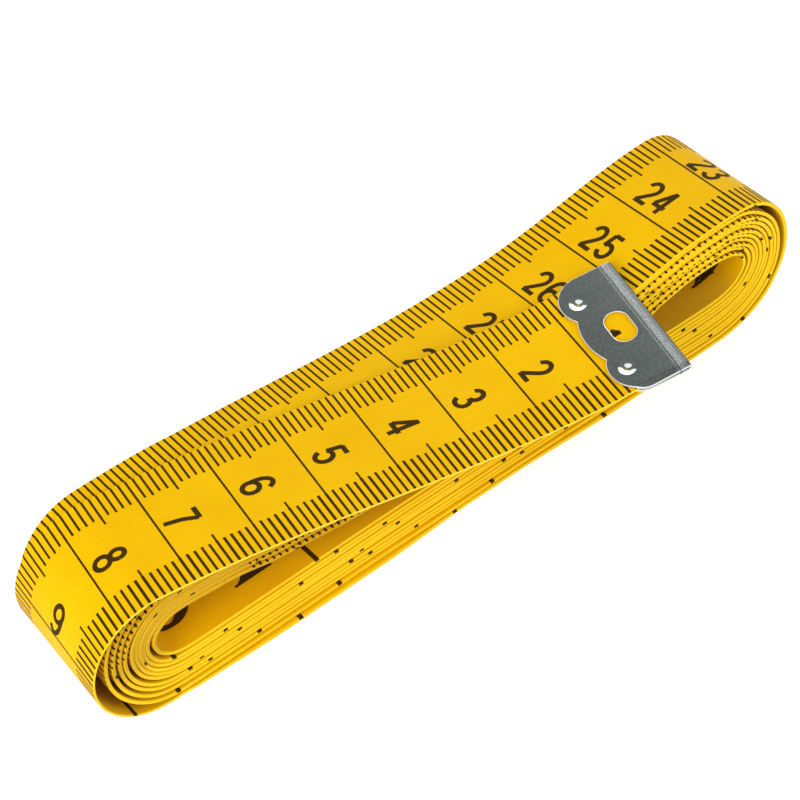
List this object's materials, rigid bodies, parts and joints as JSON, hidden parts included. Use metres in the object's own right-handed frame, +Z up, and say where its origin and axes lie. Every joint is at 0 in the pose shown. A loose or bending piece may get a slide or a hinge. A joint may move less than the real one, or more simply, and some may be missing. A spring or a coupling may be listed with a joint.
{
  "type": "cloth tape measure",
  "caption": "Flexible yellow tailor's tape measure wound flat into an oblong roll, its steel-tipped free end lying slantwise over the top.",
  "frame": {"origin": "on the surface the roll lies on, in the middle of the roll's length and of the wound tape's width", "axes": "+X along the roll towards its taller-looking end under the scale's 23, +Y across the tape away from the viewer, +Z up"},
  "size_m": [0.1141, 0.0355, 0.0214],
  "materials": {
    "tape": "vinyl-coated cloth, yellow, printed in black, slightly glossy",
    "steel": "bare folded sheet steel with fine scratches"
  },
  "bodies": {
    "roll": {"tape_roll": "tape", "inner_end_tip": "steel"},
    "free_end": {"tape_free_end": "tape", "outer_end_tip": "steel"}
  },
  "joints": [
    {"name": "free_end_lift", "type": "hinge", "parent": "roll", "child": "free_end", "pos_m": [-0.04157, -0.0032, 0.02129], "axis": [-0.1547, -0.988, 0], "range_deg": [0, 90]}
  ]
}
